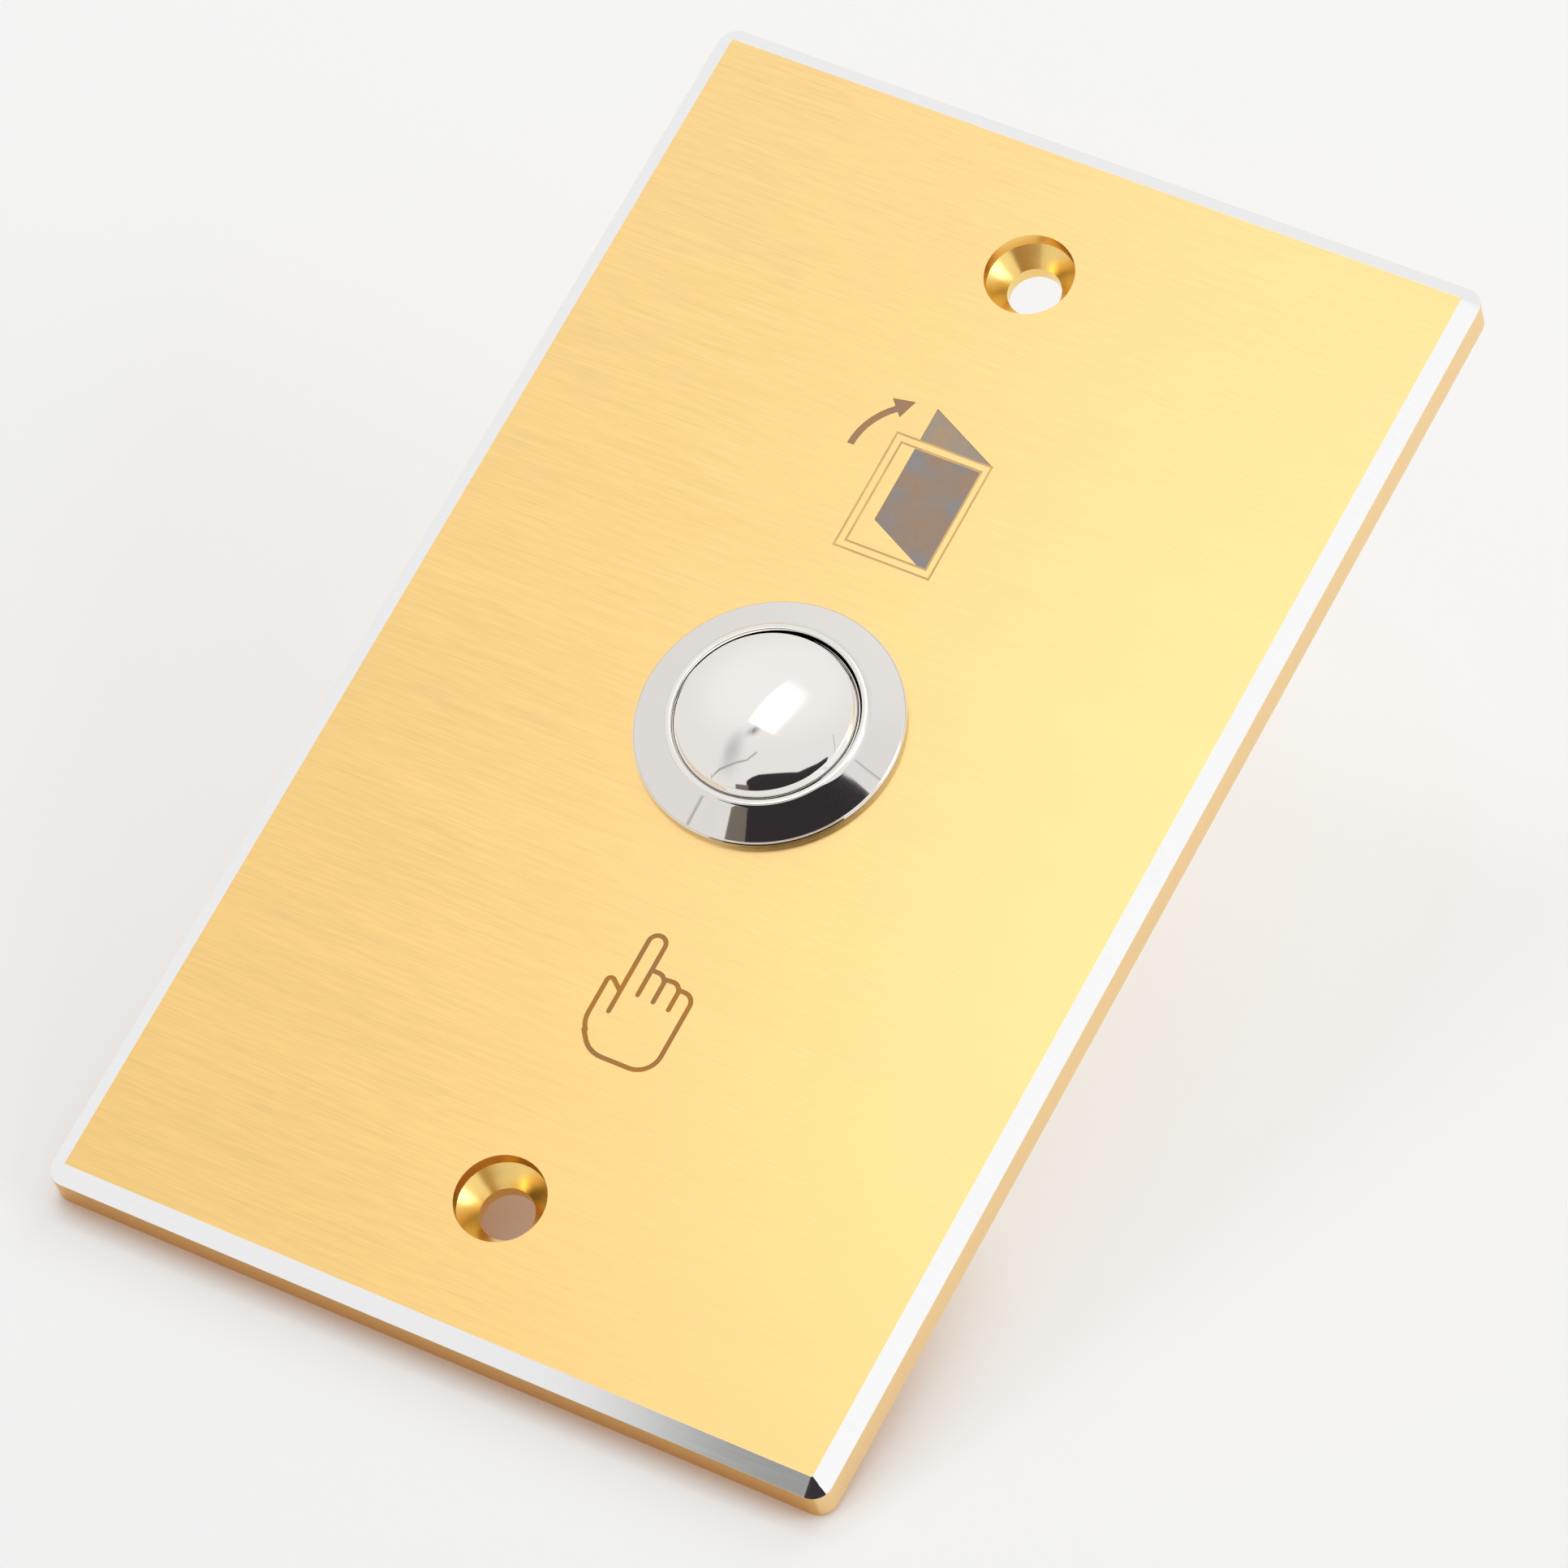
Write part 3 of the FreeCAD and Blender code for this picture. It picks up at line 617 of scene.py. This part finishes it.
dark = glow("card_black", (0.036, 0.030, 0.034))
brown = glow("card_brown", (0.20, 0.165, 0.135))
seam = glow("card_seam", (0.50, 0.48, 0.47))
pipe = glow("card_pipe", (0.42, 0.41, 0.40))
amber = glow("card_amber", (0.42, 0.27, 0.14))
card("card_low", [(-0.70, -0.62), (0.55, -0.62), (0.55, -0.26), (-0.70, -0.26)], amber, 0.82)
card("card_dark", [(-0.86, -0.36), (-0.05, -0.36), (0.0, -0.28), (0.45, -0.28), (0.45, -0.12),
                   (0.335, -0.02), (0.345, 0.47), (0.22, 0.375), (0.02, 0.275), (-0.40, 0.262),
                   (-0.47, 0.24), (-0.53, 0.21), (-0.542, 0.185), (-0.535, 0.16), (-0.52, 0.145),
                   (-0.52, 0.0), (-0.80, -0.12)], dark)
card("card_arm", [(-0.69, -0.05), (-0.51, 0.0), (-0.51, 0.152), (-0.565, 0.16), (-0.69, 0.178)],
     brown, 0.79)
card("card_seam_left", [(-1.19, 0.1), (-1.175, 0.1), (-1.175, 0.36), (-1.19, 0.36)], seam)
card("card_seam_right", [(0.43, 0.35), (0.44, 0.35), (0.46, 0.8), (0.45, 0.8)], seam)
card("card_pipe", [(-1.2, 0.29), (-1.0, 0.38), (-0.74, 0.43), (-0.56, 0.44), (-0.44, 0.53), (-0.45, 0.55),
                   (-0.57, 0.462), (-0.74, 0.455), (-1.03, 0.415), (-1.2, 0.305)], pipe)


def on_table(across, along, above):
    """A point beside the plate: to its right, up the table and above it."""
    return foot + side_way * across + table_along * (half_h + along) + table_up * above


def bank(name, place, size, power):
    """Soft light for the matt surfaces. The metal sees the tent instead."""
    data = bpy.data.lights.new(name, "AREA")
    data.shape = "RECTANGLE"
    data.size = size
    data.size_y = size
    data.energy = power
    data.color = (1.0, 0.995, 0.985)
    lamp = bpy.data.objects.new(name, data)
    scene.collection.objects.link(lamp)
    away = place - on_table(0, 0, 0)
    turn_to = away.to_track_quat("Z", "Y").to_matrix().to_4x4()
    lamp.matrix_world = Matrix.Translation(place) @ turn_to
    lamp.visible_glossy = False


bank("bank_right", on_table(0.85, 0.10, 0.45), 0.6, 2.6)
bank("bank_top", on_table(0.10, 0.80, 0.65), 0.5, 2.2)
bank("bank_front", on_table(-0.25, 0.15, 0.55), 0.2, 0.4)


def soft_card(name, place, wide, tall, colour, strength, fades):
    """Panel that only the metal sees. Fades are shares of it at the left, right, lower and upper side."""
    s = Shader(name + "_glow")
    u, v = s.xyz(s.add("ShaderNodeTexCoord").outputs["Generated"])[:2]
    left, right_side, lower, upper = fades
    mask = s.math("MULTIPLY", s.step(u, 0.0, left), s.step(u, 1.0, 1.0 - right_side))
    across = s.math("MULTIPLY", s.step(v, 0.0, lower), s.step(v, 1.0, 1.0 - upper))
    mask = s.math("MULTIPLY", mask, across)
    clear = s.add("ShaderNodeBsdfTransparent")
    s.show(mask, clear.outputs[0], s.emission(colour, strength))
    mesh = bpy.data.meshes.new(name)
    mesh.from_pydata([(-0.5, -0.5, 0), (0.5, -0.5, 0), (0.5, 0.5, 0), (-0.5, 0.5, 0)], [], [(0, 1, 2, 3)])
    panel = bpy.data.objects.new(name, mesh)
    scene.collection.objects.link(panel)
    mesh.materials.append(s.mat)
    axes = Matrix((wide, tall, wide.cross(tall))).transposed().to_4x4()
    panel.matrix_world = Matrix.Translation(place) @ axes
    panel.visible_camera = False
    panel.visible_diffuse = False
    panel.visible_shadow = False


def blot(name, across, along, wide, tall, tone):
    """Soft grey patch behind the cards, where something dim shows in the dome."""
    place = (back + right * across + up * along) * 0.85
    soft_card(name, place, right * wide, up * tall, (1.0, 1.0, 0.99), tone, (0.5, 0.5, 0.5, 0.5))


key_place = Vector((-0.165, -0.875, 0.400)).normalized() * 0.40
key_wide = Vector((0.276, -0.08, -0.053)) * 0.50
key_tall = Vector((0.056, 0.138, 0.36)) * 0.66
soft_card("softbox", key_place, key_wide, key_tall, (1.0, 0.985, 0.96), 2.1, (0.16, 0.50, 0.06, 0.66))
side_place = Vector((0.85, -0.36, 0.40)).normalized() * 0.60
side_wide = Vector((0.39, 0.92, 0.0)).normalized() * 0.30
side_tall = Vector((-0.37, 0.157, 0.92)).normalized() * 0.36
soft_card("side_box", side_place, side_wide, side_tall, (1.0, 0.98, 0.95), 3.6, (0.4, 0.4, 0.4, 0.4))
jacket_place = (back - right * 0.94 - up * 0.24) * 0.85
soft_card("blot_jacket", jacket_place, right * 0.32, up * 0.34, (0.98, 1.0, 0.94), 0.32,
          (0.20, 0.1, 0.1, 0.3))
blot("blot_body", -0.84, 0.64, 0.46, 0.86, 0.60)
blot("blot_lens", -0.57, 0.90, 0.26, 0.22, 0.28)


def tent():
    """Pale tent all round, brighter round the main light. Matt surfaces get less of it than metal."""
    world = bpy.data.worlds.new("tent")
    scene.world = world
    world.use_nodes = True
    tree = world.node_tree

    def value(operation, a, b):
        node = tree.nodes.new("ShaderNodeMath")
        node.operation = operation
        for socket, given in zip(node.inputs, (a, b)):
            if isinstance(given, bpy.types.NodeSocket):
                tree.links.new(given, socket)
            else:
                socket.default_value = given
        return node.outputs[0]

    def ramp(socket, low, high, start, end):
        node = tree.nodes.new("ShaderNodeMapRange")
        node.interpolation_type = "SMOOTHSTEP"
        tree.links.new(socket, node.inputs["Value"])
        for name, given in zip(("From Min", "From Max", "To Min", "To Max"), (low, high, start, end)):
            node.inputs[name].default_value = given
        return node.outputs[0]

    way = tree.nodes.new("ShaderNodeTexCoord").outputs["Generated"]
    near = tree.nodes.new("ShaderNodeVectorMath")
    near.operation = "DOT_PRODUCT"
    tree.links.new(way, near.inputs[0])
    near.inputs[1].default_value = Vector((-0.33, -0.75, 0.57)).normalized()
    halo = ramp(near.outputs["Value"], 0.70, 0.97, 0.0, 0.10)
    split = tree.nodes.new("ShaderNodeSeparateXYZ")
    tree.links.new(way, split.inputs[0])
    across = ramp(split.outputs[0], 0.42, 0.68, 0.885, 1.0)
    ray = tree.nodes.new("ShaderNodeLightPath")
    share = ramp(ray.outputs["Is Diffuse Ray"], 0.0, 1.0, 1.0, 0.40)
    background = tree.nodes["Background"]
    tree.links.new(value("MULTIPLY", value("ADD", halo, across), share), background.inputs["Strength"])
    background.inputs["Color"].default_value = (1.0, 0.993, 0.985, 1.0)


tent()

scene.view_settings.view_transform = "Standard"
scene.view_settings.look = "None"
